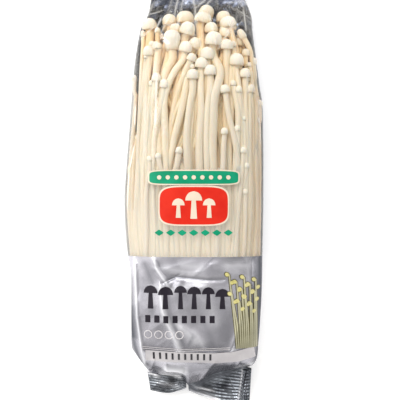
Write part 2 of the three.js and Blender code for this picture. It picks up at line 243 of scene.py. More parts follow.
def skin_heights(x, y, inset):
    """The front and the back skin's heights over (x, y): level + (top - level) s, and
    level - (level - bottom) min(f s, 1), where s = (1 - |across|^p)^(1/p) and f flattens it."""
    centre, half, level, top, bottom = section(y, inset)
    across = np.clip(np.abs(x - centre) / half, 0, EDGE_ON)
    share = (1 - across**SECTION_POWER) ** (1 / SECTION_POWER)
    return level + (top - level) * share, level - (level - bottom) * np.minimum(FLAT_SHARE * share, 1)


def front_height(x, y, inset):
    """The front skin's height over (x, y)."""
    return skin_heights(x, y, inset)[0]


# ---- The mushrooms ----
# Every mushroom is a thin stem, bent a little where its neighbours press on it, that widens towards its own
# small domed cap. They grow from one trimmed base, so they share one material.
FILM_ROOM = 0.8  # film and play between the mushrooms and the bag's outside
ROOT_Y = -40  # below the print line, where the stems are too dense to tell apart
CAP_TILT = 0.12  # the front caps tip this far towards the front
COURSE_STATIONS = (0, 17.5, 34, 48.5)

# Each mushroom at the front: its cap's x, y, width, height and lean to the right in degrees, the cap's depth
# under its neighbours and the depth that its stem sinks to, then the x of its stem at those of the course
# stations that lie below its cap, from the highest down.
FRONT_MUSHROOMS = [
    (5.7, 76.5, 7, 5.6, 28, 6, 6, (5, 4.5, 4, 4)),
    (12.8, 74.1, 6.8, 5.1, -4, 5, 6, (15, 15, 15, 15)),
    (-3.8, 73.7, 8, 5.4, 0, 2.8, 6, (-4.5, -5.5, -5.5, -5.5)),
    (4.1, 73, 7.6, 4.8, 14, 1.2, 3, (4, 1, -0.5, 0)),
    (-10.7, 72.5, 6.3, 4.7, -6, 3.2, 4.5, (-15.5, -15.5, -15, -15.5)),
    (14.5, 70.9, 7.4, 4.7, -12, 0.6, 3.6, (19, 18.5, 19.5, 20)),
    (-19.4, 70.5, 6.7, 5.1, -4, 0.5, 2.2, (-20, -20.5, -20, -20.5)),
    (7.4, 68.2, 5.9, 4.5, -4, 2.6, 5, (7, 7, 7, 7)),
    (-8.1, 68, 5, 4.3, 0, 4.2, 6, (-8, -10, -11, -11.5)),
    (-2.6, 67.4, 6.9, 5.8, 16, 0.3, 4, (-6, -8, -9.5, -10)),
    (-15.6, 67.1, 2.6, 2.2, 0, 3.4, 5, (-16, -16, -16.5, -17)),
    (-22.1, 66.1, 2.4, 2.8, -2, 1.6, 0.8, (-22.5, -23, -23.5, -23.5)),
    (13.2, 66, 5, 4, 8, 3.4, 4.5, (13.5, 11.5, 11.5, 12)),
    (20.3, 65.5, 3.5, 4.4, -30, 2.2, 1, (27, 28, 28.5, 28.5)),
    (8.4, 62.8, 7.7, 6, 4, 0.1, 0.4, (11, 8, 8, 8.5)),
    (-9.3, 62, 7.1, 8.8, -2, 0.2, 2.4, (-12, -14, -14.5, -15)),
    (0.6, 60.9, 5.9, 4.9, 24, 3, 1.6, (-2.5, -5, -8.5, -10.5)),
    (14.1, 60.1, 5.3, 4.4, 2, 0.4, 3, (13.5, 13.5, 14, 14)),
    (-16.3, 60, 4.1, 3.9, 0, 2.8, 3.4, (-16.5, -18, -18.5, -18)),
    (-3.3, 59, 5.9, 4.9, 12, 0.8, 1.2, (-8, -12.5, -12, -11.5)),
    (-19.3, 57.7, 4.8, 4.4, -2, 0.3, 0.8, (-20, -20, -20, -20)),
    (22.2, 57.4, 3.4, 3.4, 0, 2.8, 1.8, (24.5, 24.5, 24.5, 24.5)),
    (5.9, 56.3, 6.6, 5.4, 2, 0.9, 3, (5.5, 4.5, 4, 4.5)),
    (-0.8, 54.3, 4.1, 3.5, 18, 0.9, 2.6, (-3.5, -8, -10.5, -11)),
    (18.1, 53.9, 6.5, 5.3, 2, 0.1, 2.6, (17, 15.5, 14.5, 15)),
    (25.9, 53.8, 2.8, 3.3, 4, 1.6, 0.8, (26, 26.5, 26.5, 27)),
    (3.3, 52, 5.6, 4.6, 6, 0.5, 0.6, (3, 3, 2, 2.5)),
    (-0.7, 50.6, 2.5, 2.1, 0, 2.2, 2.6, (-1, -0.5, -1.5, -1)),
    (7, 48.9, 5.4, 4.5, 0, 0.1, 0.5, (6, 5.5, 5.5)),
    (21.6, 48.2, 4.9, 4.1, 0, 0.1, 0.9, (21.5, 22, 22)),
    (-0.4, 47.1, 5.1, 4.4, 0, 0.1, 0.3, (-1.5, -3, -2.5)),
    (-25.6, 46.6, 2.2, 2.2, 0, 0.3, 0.2, (-26, -27, -27.5)),
    (-15.8, 45.9, 4, 3.7, 4, 0.1, 1.6, (-17.5, -18, -18)),
    (-12.5, 43.2, 4, 3.8, 6, 0.3, 1, (-14, -17, -17)),
    (24.3, 41.6, 3.9, 3.6, 8, 0.1, 0.4, (23.5, 23.5, 23.5)),
    (19, 40.9, 3, 2.9, 0, 0.6, 2.2, (19.5, 20, 20.5)),
    (13, 40.9, 4.2, 3.5, -10, 0.1, 0, (14, 17.5, 18)),
    (27.9, 35.7, 3.3, 2.9, 0, 0.1, 0.3, (27.5, 28)),
    (26.7, 28.4, 3.1, 2.6, 4, 0.1, 0.6, (26.5, 26.5)),
    (18.2, 24.3, 2.7, 2.6, 0, 0.3, 1.2, (18.5, 18.5)),
    (12.8, 23, 3.1, 2.9, -2, 0.1, 0.4, (12.5, 11.5)),
    (20.8, 15.1, 2.9, 2.6, 4, 0.1, 0.3, (19.5,)),
    (-6.1, 15, 3, 2.8, 10, 0.1, 0.2, (-9,)),
    (-15, 12.7, 2.5, 2.3, -10, 0.1, 0.3, (-11.5,)),
    (-18.7, 11.5, 2.4, 2.2, -4, 0.1, 0.3, (-19.5,)),
    (22.2, 8.7, 2.6, 2.4, 6, 0.1, 0.2, (21,)),
    (19.2, 7.9, 1.7, 1.7, 0, 1, 0.8, (19,)),
    (21.5, -2.3, 2.5, 2.3, 0, 0.1, 0.2, ()),
]
CAP_SQUASH = 0.95  # of the height listed
TALL_CAP = 7.6  # a cap taller than this has the collar of one that has not yet opened
BIG_CAP = 3.4  # a cap wider than this holds its stem deeper
LAST_BEND = 3.5  # from a front cap's neck down to where its stem begins to follow its lean
FULL_SHADE_DEPTH = 16  # where the flesh's painted shade is full
EDGE_SHADE, EDGE_SHADE_FROM = 0.12, 23  # painted shade at the right edge, away from the light, and from which x on
LANE_SPREAD = 0.97  # the share of the room's width that the lanes take
STEM_FOOT_Y = -34  # up to here a stem keeps its foot's thickness
BASE_SPAN = (-73.5, 5)  # of the trimmed base, along y


def dome(below, widest, rings):
    """A cap's outline as (rise, reach) shares: the given points of its underside and rim, then rings up
    to the crown, where rise = w + (1 - w) sin(a)^(2/p) and reach = cos(a)^(2/p), p = 2.4, a fuller dome than
    a ball's, from w, the share of the height at which it is widest."""
    angle = np.linspace(0, 0.96, rings) * math.pi / 2
    power = 2 / 2.4
    return below + list(zip(widest + (1 - widest) * np.sin(angle) ** power, np.cos(angle) ** power))


CAP_PROFILE = dome([(0.16, 0.42), (0.07, 0.60), (0.0, 0.80), (0.0, 0.92), (0.07, 0.98)], 0.2, 8)
PLAIN_PROFILE = dome([(0.1, 0.6), (0.0, 0.88)], 0.2, 5)
TALL_PROFILE = dome([
    (0.04, 0.46), (0.0, 0.60), (0.03, 0.72), (0.14, 0.82), (0.32, 0.91), (0.43, 0.92), (0.48, 0.95),
], 0.56, 8)


def grade(at, start, span):
    """0 up to start, 1 from a span beyond it, and even between; a negative span runs downwards."""
    return np.clip((at - start) / span, 0, 1)


def room(y, inset):
    """Middle and half width of the bag at y, kept in by inset."""
    return section(y, inset)[:2]


def even_lane(k, count, y):
    """The x of lane k of count even lanes across the room at y."""
    centre, half = room(y, FILM_ROOM)
    return float(centre + half * LANE_SPREAD * (2 * (k + 0.5) / count - 1))


def stem_line(neck, steps, points, radius, sink, sway, wave, phase, ease=9, floor=0.7, behind=0):
    """The middle line of a stem, steps points from root to neck: x follows points along y and sways as a
    sine does, and z is the front skin's height less room, radius and sink, and less behind low down, for one
    that ends behind its neighbours. It stays inside both sides, in front of the back skin and above floor, a
    share of the widest level, and z eases to the neck's as 1 - exp(-(below / ease)^1.5)."""
    y = np.linspace(points[0][0], neck[1], steps)
    x = follow(points, y)
    below = neck[1] - y
    x = x + sway * np.sin(y / wave + phase) * grade(below, 0, 12)
    centre, half = room(y, FILM_ROOM + radius)
    x = np.where(below > 6, np.clip(x, centre - EDGE_ON * half, centre + EDGE_ON * half), x)
    settled = 1 - np.exp(-((below / ease) ** 1.5))
    front, back = skin_heights(x, y, FILM_ROOM + radius)
    surface = front - (sink + behind * grade(y, 14, -26)) - 0.35 * sway * np.cos(y / wave + 2 * phase)
    surface = np.maximum(np.maximum(surface, floor * section(y, FILM_ROOM)[2]), back)
    return np.stack([x, y, neck[2] + (surface - neck[2]) * settled], -1)


def mushroom(cap, tip, size, stem, course, detail, foot=1, profile=PLAIN_PROFILE):
    """One mushroom's skin as rings: circles of the stem's radius r (f + (1 - f) s) along its middle line,
    where f is its foot's share and s goes from 0 at the print line to 1 well above it, then the cap's rings,
    each at its rise and reach as shares of the cap's height and radius along its tip, a little out of round.
    With it each ring's share of the cap's colour: 0 on the stem, 0.35 + 1.4 rise, up to 1, on the cap.
    The lower share towards the rim is partly the cap's own warmer rim and partly painted shade under it."""
    width, height = size
    steps, sides = detail
    phase = course["phase"]
    neck = cap - tip * height / 2
    middle = stem_line(neck, steps, **course)
    grown = grade(middle[:, 1], STEM_FOOT_Y, 44)
    thick = stem / 2 * (foot + (1 - foot) * grown) * (1 + 0.06 * np.sin(middle[:, 1] / 7 + phase))
    rises, reaches = np.array(profile).T
    middles = np.concatenate([middle, neck + tip * (height * rises)[:, None]])
    axes = np.gradient(middle, axis=0)
    axes = np.concatenate([axes / np.linalg.norm(axes, axis=1)[:, None], np.tile(tip, (len(profile), 1))])
    radii = np.concatenate([thick, width / 2 * reaches])
    radii[steps] = max(radii[steps], thick[-1])
    side = np.cross(axes, [0, 0, 1.0])
    side /= np.linalg.norm(side, axis=1)[:, None]
    lift = np.cross(side, axes)
    angle = np.linspace(0, 2 * np.pi, sides, endpoint=False)
    oval = 1 + 0.04 * np.cos(2 * angle + phase) + 0.025 * np.cos(3 * angle + 2 * phase)
    out = side[:, None] * np.cos(angle)[None, :, None] + lift[:, None] * np.sin(angle)[None, :, None]
    skin = middles[:, None] + out * (radii[:, None] * oval)[..., None]
    return skin, np.r_[np.zeros(steps), np.clip(0.35 + 1.4 * rises, 0, 1)]


def grid_faces(rows, columns, closed=False):
    """Four-cornered faces between neighbouring rows and columns, and round to the first column if closed."""
    row = np.arange(rows - 1)[:, None] * columns
    column = np.arange(columns if closed else columns - 1)[None, :]
    beside = (column + 1) % columns
    corners = [row + column, row + beside, row + columns + beside, row + columns + column]
    return np.stack(np.broadcast_arrays(*corners), -1).reshape(-1, 4)


def new_piece(name, points, faces, material, node):
    """A smooth piece on the pack's one body, from points in millimetres and one array of faces for each
    number of corners. It stands for the given node."""
    mesh = bpy.data.meshes.new(name)
    points = points.reshape(-1, 3)
    mesh.vertices.add(len(points))
    mesh.vertices.foreach_set("co", (points * MM).astype(np.float32).ravel())
    corners = np.concatenate([part.ravel() for part in faces])
    mesh.loops.add(len(corners))
    mesh.loops.foreach_set("vertex_index", corners.astype(np.int32))
    sizes = np.concatenate([np.full(len(part), part.shape[1]) for part in faces])
    mesh.polygons.add(len(sizes))
    mesh.polygons.foreach_set("loop_start", (np.cumsum(sizes) - sizes).astype(np.int32))
    mesh.polygons.foreach_set("use_smooth", np.full(len(sizes), True))
    mesh.update(calc_edges=True)
    mesh.materials.append(material)
    piece = stand(name, mesh)
    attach(piece, "root")
    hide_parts(node)
    return piece


def store(piece, key, values):
    """Keeps one number for each vertex of a piece, for its material to read."""
    values = np.asarray(values, np.float32).ravel()
    piece.data.attributes.new(key, "FLOAT", "POINT").data.foreach_set("value", values)


def bunch_piece(name, skins):
    """Joins mushroom skins, closing each end with a pole. Stores the depth of each vertex under the front
    skin, as a share of the depth of full painted shade, plus painted shade at the right edge, and its cap
    share."""
    points, quads, tris, on_cap, base = [], [], [], [], 0
    for skin, cap_share in skins:
        rings, sides = skin.shape[:2]
        crown = skin[-1].mean(0) + 0.4 * (skin[-1].mean(0) - skin[-2].mean(0))
        points += [skin.reshape(-1, 3), skin[0].mean(0)[None], crown[None]]
        quads.append(grid_faces(rings, sides, closed=True)[:, ::-1] + base)
        here = np.arange(sides)
        beside = (here + 1) % sides
        low, high = base + rings * sides, base + rings * sides + 1
        last = base + (rings - 1) * sides
        tris.append(np.stack([base + here, base + beside, np.full(sides, low)], -1))
        tris.append(np.stack([last + beside, last + here, np.full(sides, high)], -1))
        on_cap.append(np.r_[np.repeat(cap_share, sides), cap_share[0], cap_share[-1]])
        base += rings * sides + 2
    points = np.concatenate(points)
    faces = [np.concatenate(quads), np.concatenate(tris)]
    piece = new_piece(name, points, faces, FLESH, "mushroom_bunch")
    under = front_height(points[:, 0], points[:, 1], 0) - points[:, 2]
    # Painted shade: darker and warmer the deeper under the front, and more at the right edge, away from the
    # light.
    shade_share = under / FULL_SHADE_DEPTH + EDGE_SHADE * grade(points[:, 0], EDGE_SHADE_FROM, 6)
    store(piece, "depth", np.clip(shade_share, 0, 1))
    store(piece, "cap", np.concatenate(on_cap))


def reader(tree, key):
    """A node that reads what a piece stores under key."""
    node = add(tree, "Attribute")
    node.attribute_name = key
    return node


def colour_mix(tree, blend="MIX"):
    """A node that mixes the colours A and B."""
    node = add(tree, "Mix")
    node.data_type, node.blend_type = "RGBA", blend
    return node


def mushroom_finish():
    """Moist cream flesh that light goes into a little way: caps palest, stems cream with fine fibres along
    them, and both given painted shade that grows darker and warmer the deeper they lie; the stems are also a
    little darker right at the front, where the light is strongest."""
    material, tree, output = new_material("mushroom_flesh")
    depth, on_cap = reader(tree, "depth"), reader(tree, "cap")
    # The tones by depth are painted shade; the stems' first stop holds back the light right at the front.
    stem_shade_tone = colour_ramp(tree, [
        (0.04, (0.66, 0.60, 0.50)), (0.2, (0.79, 0.70, 0.535)),
        (0.38, (0.80, 0.61, 0.36)), (0.8, (0.68, 0.42, 0.17)),
    ])
    cap_shade_tone = colour_ramp(tree, [
        (0.1, (0.78, 0.735, 0.63)), (0.4, (0.76, 0.66, 0.49)), (0.8, (0.68, 0.50, 0.28)),
    ])
    place = add(tree, "TexCoord")
    stretch = add(tree, "Mapping", {"Scale": (900, 40, 900)})
    fibres = add(tree, "TexNoise", {"Scale": 1, "Detail": 3})
    streak = colour_ramp(tree, [(0.3, (0.86, 0.80, 0.72)), (0.62, (1, 1, 1))])
    fibrous, flesh = colour_mix(tree, "MULTIPLY"), colour_mix(tree)
    fibrous.inputs["Factor"].default_value = 0.5
    bump = add(tree, "Bump", {"Strength": 0.12, "Distance": 0.0003})
    surface = add(tree, "BsdfPrincipled", {
        "Roughness": 0.5, "Specular IOR Level": 0.15, "Subsurface Weight": 0.5,
        "Subsurface Radius": (1.0, 0.7, 0.45), "Subsurface Scale": 0.0008,
    })
    join(tree, (depth, "Fac", stem_shade_tone, "Fac"), (depth, "Fac", cap_shade_tone, "Fac"),
         (place, "Object", stretch, "Vector"), (stretch, "Vector", fibres, "Vector"),
         (fibres, "Fac", streak, "Fac"), (stem_shade_tone, "Color", fibrous, "A"), (streak, "Color", fibrous, "B"),
         (on_cap, "Fac", flesh, "Factor"), (fibrous, "Result", flesh, "A"), (cap_shade_tone, "Color", flesh, "B"),
         (flesh, "Result", surface, "Base Color"), (fibres, "Fac", bump, "Height"),
         (bump, "Normal", surface, "Normal"), (surface, "BSDF", output, "Surface"))
    return material


FLESH = mushroom_finish()


def tip_direction(lean, forward):
    """The way a cap points: leaning to the right by lean degrees and tipped forward by a slope."""
    angle = math.radians(lean)
    tip = np.array([math.sin(angle), math.cos(angle), forward])
    return tip / np.linalg.norm(tip)


def stem_width(cap_width):
    """A stem's thickness: a little over a third of its cap's width, plus 1."""
    return 0.36 * cap_width + 1.0


def front_mushrooms():
    """The mushrooms whose caps show at the front, in the courses that their stems take there. Each foot is
    at 0.6 of its even lane's x and 0.4 of the x at its lowest station, and every other one falls behind."""
    draw = np.random.default_rng(11)
    rows = sorted(FRONT_MUSHROOMS, key=lambda row: row[7][-1] if row[7] else row[0])
    skins = []
    for lane, (x, y, width, height, lean, depth, sink, line) in enumerate(rows):
        height *= CAP_SQUASH
        spare = FILM_ROOM + width / 2
        level = float(section(y, spare)[2])
        cap = np.array([x, y, max(float(front_height(x, y, spare)) - depth, level)])
        tip = tip_direction(lean, CAP_TILT)
        neck = cap - tip * height / 2
        foot = 0.6 * even_lane(lane, len(rows), ROOT_Y) + 0.4 * (line[-1] if line else x)
        points = [(ROOT_Y, foot), *zip(COURSE_STATIONS, line[::-1])]
        if neck[1] - points[-1][0] > 2 * LAST_BEND:
            points.append((neck[1] - LAST_BEND * tip[1], neck[0] - LAST_BEND * tip[0]))
        points.append((neck[1], neck[0]))
        stem = stem_width(width) * draw.uniform(0.98, 1.12)
        course = {
            "points": points, "radius": stem / 2, "sink": sink + 0.5 * (width > BIG_CAP),
            "sway": draw.uniform(0.1, 0.35), "wave": draw.uniform(5, 9), "phase": draw.uniform(0, 6),
            "behind": draw.uniform(1.6, 3) * (lane % 2),
        }
        foot_share = draw.uniform(0.92, 1.05)
        profile = TALL_PROFILE if height > TALL_CAP else CAP_PROFILE
        skins.append(mushroom(cap, tip, (width, height), stem, course, (52, 20), foot_share, profile))
    bunch_piece("front_mushrooms", skins)


def side_mushrooms():
    """The thin stems along both edges of the bag, their small caps mostly tucked behind the next: stem k of
    a side keeps near 0.985 - 0.06 k of the half width, from its foot up."""
    draw = np.random.default_rng(29)
    skins = []
    for side in (-1, 1):
        for k in range(7):
            share = side * (0.985 - 0.06 * k)
            y = draw.uniform(20, 62)
            width = draw.uniform(2.2, 3.2)
            spare = FILM_ROOM + width / 2
            centre, half = room(y, spare)
            x = float(centre + share * half)
            sink = draw.uniform(0.3, 2.2)
            cap = np.array([x, y, float(front_height(x, y, spare)) - sink - 1.0])
            centre, half = room(ROOT_Y, FILM_ROOM)
            points = [(ROOT_Y, float(centre + half * share * 0.98))]
            for at in (-10, 10, 30):
                if y - at > 6:
                    centre, half = room(at, FILM_ROOM + 0.7)
                    points.append((at, float(centre + half * (share + draw.uniform(-0.015, 0.015)))))
            points.append((y - 0.4 * width, x))
            stem = 1.25 * stem_width(width)
            course = {
                "points": points, "radius": stem / 2, "sink": 0.9 + sink * 0.6,
                "sway": 0.2, "wave": draw.uniform(5, 9), "phase": draw.uniform(0, 6),
            }
            tip = tip_direction(draw.uniform(-8, 8), 0.15)
            skins.append(mushroom(cap, tip, (width, width * 0.85), stem, course, (40, 12)))
    bunch_piece("side_mushrooms", skins)


def low_mushrooms():
    """Short thin mushrooms low on the bunch, one to a lane, whose caps stay behind the long stems: only
    their stems come forward, towards the print line."""
    draw = np.random.default_rng(31)
    count = 26
    skins = []
    for k in range(count):
        y = draw.uniform(-14, 12)
        x = even_lane(k, count, y) + draw.uniform(-0.5, 0.5)
        width = draw.uniform(2.0, 2.6)
        stem = draw.uniform(3, 3.8)
        cap = np.array([x, y, float(front_height(x, y, FILM_ROOM + width / 2)) - 3.4])
        course = {
            "points": [(ROOT_Y, even_lane(k, count, ROOT_Y)), (y - 4, x), (y - 1, x)],
            "sway": 0.15, "wave": draw.uniform(4, 7), "phase": draw.uniform(0, 6),
            "sink": draw.uniform(1.2, 2), "radius": stem / 2, "ease": 14,
        }
        skins.append(mushroom(cap, tip_direction(0, 0.1), (width, width * 0.85), stem, course, (26, 10)))
    bunch_piece("low_mushrooms", skins)


def inner_mushrooms(name, count, seed, depths, detail):
    """Mushrooms inside the bunch: each stands behind one of the tall front caps, at a drawn depth, and its
    stem runs from its even lane at the foot towards its cap's x, by shares that grow with height."""
    draw = np.random.default_rng(seed)
    tall = [row for row in FRONT_MUSHROOMS if row[1] > 46 and abs(row[0]) < 22]
    skins = []
    for k in range(count):
        front = tall[draw.integers(len(tall))]
        width = draw.uniform(3.6, 5.6)
        y = front[1] - draw.uniform(0.5, 4)
        spare = FILM_ROOM + width / 2
        centre, half = room(y, spare)
        x = float(np.clip(front[0] + draw.uniform(-1.2, 1.2), centre - 0.95 * half, centre + 0.95 * half))
        deep = draw.uniform(*depths)
        ahead, behind = skin_heights(x, y, spare)
        cap = np.array([x, y, max(float(ahead) - front[5] - deep, float(behind))])
        points = [
            (ROOT_Y, even_lane(k, count, ROOT_Y) * 0.96), (0, 0.75 * even_lane(k, count, 0) + 0.25 * x),
            (28, 0.45 * even_lane(k, count, 28) + 0.55 * x), (y - 6, x), (y - 0.4 * width, x),
        ]
        course = {
            "points": points, "radius": 1.5, "floor": 0.15,
            "sway": draw.uniform(0.2, 0.6), "wave": draw.uniform(5, 9), "phase": draw.uniform(0, 6),
            "sink": deep + draw.uniform(-0.5, 1.5),
        }
        tip = tip_direction(draw.uniform(-10, 10), 0.1)
        skins.append(mushroom(cap, tip, (width, width * 0.82), stem_width(width), course, detail, 0.8))
    bunch_piece(name, skins)


def trimmed_base():
    """The dense foot of the bunch: the section drawn in, r = share(y), and fluted all round like fine stems
    side by side by 0.5 |sin(flutes a / 2)|, with a flat cut at the end."""
    rows, columns, flutes = 36, 720, 120
    y = np.linspace(*BASE_SPAN, rows)[:, None]
    turn = np.linspace(0, 2 * np.pi, columns, endpoint=False)[None, :]
    share = follow([(-73.5, 0.93), (-64, 0.97), (-38, 0.94), (-27, 0.84), (-5, 0.6), (5, 0.4)], y)
    flute = 0.5 * np.abs(np.sin(turn * flutes / 2 + 0.6 * np.sin(y / 14)))
    centre, half, level, top, bottom = section(y, FILM_ROOM)
    across, up = rounded(np.cos(turn)), rounded(np.sin(turn))
    tall = np.where(up > 0, top - level, level - bottom)
    skin = np.stack([
        centre + across * (half * share - flute), y + 0 * turn, level + up * (tall * share - flute),
    ], -1)
    bunch_piece("trimmed_base", [(skin, np.zeros(rows))])


front_mushrooms()
side_mushrooms()
low_mushrooms()
inner_mushrooms("near_mushrooms", 64, 37, (3.2, 5.5), (34, 12))
inner_mushrooms("middle_mushrooms", 60, 41, (6.5, 11), (26, 9))
inner_mushrooms("back_mushrooms", 56, 53, (12, 19), (22, 8))
trimmed_base()

# ---- The clear film ----
# The bag's window: thin clear polypropylene drawn over the mushrooms. Its crumples are shallow over the
# stems, and long and sharp above the caps, where the film runs slack to the seal.
PRINT_LINE = -29.7
WINDOW_TOP = 83
DENSE_FROM, SLACK_FROM = 52, 63  # where its rows lie closer, and where it comes off the caps and runs slack
SKIN_INSET = 0.1  # the film lies this far inside the form, which leaves room for its crumples
SIDE_RISE = 2.5  # crumples have their full height from where the section's sine is 1 over this

# Painted glints along sharp creases of the film over the stems: x0, y0 to x1, y1, whiteness, half width.
PAINTED_GLINTS = [
    (-15.6, 43.4, -16.0, 30, 0.9, 0.3), (-16.0, 31, -16.1, 27.4, 0.95, 0.5),
    (-24.8, 32.5, -25, 27.5, 0.9, 0.3), (-25.6, 15, -26.7, 9.5, 0.9, 0.3),
    (-20.3, 37, -20.6, 12, 0.22, 0.7), (-12, -25, -5, -26.2, 0.22, 0.7), (-27.6, 4, -28.2, -8, 0.7, 0.4),
    (27.6, 34, 28.2, 20, 0.4, 0.4), (-9, -23, 1, -24.4, 0.22, 0.8), (22.4, 47, 22.8, 40, 0.3, 0.4),
]

# The slack film's lines fan out from the upper seal: ridges of its shape, which also sink, and streaks of
# painted glint. What each kind draws from: the x and y of its start, the spread of its heading, its length,
# its height or whiteness, and its half width.
SLACK_RIDGES = ((-22, 24), (62, 84), 0.45, (4, 13), (0.25, 0.7), (0.5, 1.1))
SLACK_GLINTS = ((-22, 26), (66, 90), 0.5, (3, 12), (0.1, 0.42), (0.3, 0.5))
FAN_POINT = (1, 130)  # beyond the seal, which the lines head away from


def crushed(x, y, pitch, seed, stretch=1.6):
    """Flat facets with sharp creases, 0 to about 1: the least, over seeded centres, of
    tilt max(|a|, stretch |b|) / pitch, where a and b are the distances from the centre along and across that
    centre's own heading."""
    draw = np.random.default_rng(seed)
    x, y = np.broadcast_arrays(x, y)
    count = int(80 * 200 / pitch**2)
    near_x, near_y = draw.uniform(-40, 40, count), draw.uniform(-100, 100, count)
    heading, tilt = draw.uniform(0, math.pi, count), draw.uniform(0.6, 1.4, count)
    beside = (near_x > x.min() - 2 * pitch) & (near_x < x.max() + 2 * pitch)
    beside &= (near_y > y.min() - 2 * pitch) & (near_y < y.max() + 2 * pitch)
    least = np.full(x.shape, 1.2)
    for i in np.flatnonzero(beside):
        dx, dy = x - near_x[i], y - near_y[i]
        along = dx * math.cos(heading[i]) + dy * math.sin(heading[i])
        across = dy * math.cos(heading[i]) - dx * math.sin(heading[i])
        least = np.minimum(least, tilt[i] * np.maximum(np.abs(along), stretch * np.abs(across)) / pitch)
    return least


def ridges(x, y, lines):
    """Ridges h exp(-(d/w)^1.4) along lines x0, y0 to x1, y1, with height h and half width w, that fade past
    their ends as exp(-(past/2.2)^2): at each point the highest of those that rise and the lowest of those
    that sink."""
    highest, lowest = np.zeros((2,) + np.broadcast(x, y).shape)
    for x0, y0, x1, y1, height, width in lines:
        length = math.hypot(x1 - x0, y1 - y0)
        ux, uy = (x1 - x0) / length, (y1 - y0) / length
        along = (x - x0) * ux + (y - y0) * uy
        aside = (y - y0) * ux - (x - x0) * uy
        past = np.maximum(np.maximum(-along, along - length), 0)
        here = height * np.exp(-((np.abs(aside) / width) ** 1.4)) * np.exp(-((past / 2.2) ** 2))
        highest, lowest = np.maximum(highest, here), np.minimum(lowest, here)
    return highest + lowest


def slack_fan(kind, seed, count):
    """Lines of the slack film for ridges, x0, y0 to x1, y1, height or whiteness and half width: each heads
    away from the fan's point, by 1.6 of the angle there and a drawn spread."""
    across, along, spread, lengths, heights, widths = kind
    draw = np.random.default_rng(seed)
    lines = []
    for _ in range(count):
        x0, y0 = draw.uniform(*across), draw.uniform(*along)
        heading = math.atan2(x0 - FAN_POINT[0], FAN_POINT[1] - y0) * 1.6 + draw.normal(0, spread)
        length = draw.uniform(*lengths)
        way = draw.choice([-1, 1]) if kind is SLACK_RIDGES else 1
        x1, y1 = x0 + length * math.sin(heading), y0 - length * math.cos(heading)
        lines.append((x0, y0, x1, y1, way * draw.uniform(*heights), draw.uniform(*widths)))
    return lines


def film_front(x, y):
    """The window's height over (x, y): the form, with low facets over the stems, and with sharp facets and a
    fan of ridges where it is slack above the caps, by a share that grows as y^1.5 over 12 mm."""
    slack = grade(y, SLACK_FROM, 12) ** 1.5
    taut = 0.16 * crushed(x, y, 9, 71) + 0.05 * crushed(x, y, 3.2, 72)
    loose = 1.4 * crushed(x, y, 9, 73, 2.4) + 0.4 * crushed(x, y, 3.4, 74, 2)
    loose = loose + ridges(x, y, slack_fan(SLACK_RIDGES, 75, 46))
    return front_height(x, y, SKIN_INSET) + taut * (1 - slack) + (loose - 0.5) * slack


def clear_finish():
    """Clear film: see-through, a little darker where it carries painted shade, milky white where it carries
    painted sheen and glints, and with a mirror-like gloss of share 0.04 + 0.96 (1 - cos a)^5 at slant a from
    either side."""
    material, tree, output = new_material("clear_film")
    shaded_through = colour_mix(tree)
    shaded_through.inputs["A"].default_value = (0.985, 0.985, 0.99, 1)
    shaded_through.inputs["B"].default_value = (0.86, 0.84, 0.85, 1)
    through = add(tree, "BsdfTransparent")
    gloss = add(tree, "BsdfGlossy", {"Roughness": 0.04})
    sheen_white = add(tree, "BsdfDiffuse", {"Color": (0.95, 0.92, 0.86, 1)})
    facing = add(tree, "LayerWeight")
    slant, share = add(tree, "Math", {1: 5}), add(tree, "Math", {1: 0.96, 2: 0.04})
    slant.operation, share.operation = "POWER", "MULTIPLY_ADD"
    glossy, sheened = add(tree, "MixShader"), add(tree, "MixShader")
    join(tree, (reader(tree, "right_shade"), "Fac", shaded_through, "Factor"), (shaded_through, "Result", through, "Color"),
         (facing, "Facing", slant, 0), (slant, "Value", share, 0), (share, "Value", glossy, "Fac"),
         (through, "BSDF", glossy, 1), (gloss, "BSDF", glossy, 2),
         (reader(tree, "painted_sheen"), "Fac", sheened, "Fac"), (glossy, "Shader", sheened, 1),
         (sheen_white, "BSDF", sheened, 2), (sheened, "Shader", output, "Surface"))
    return material


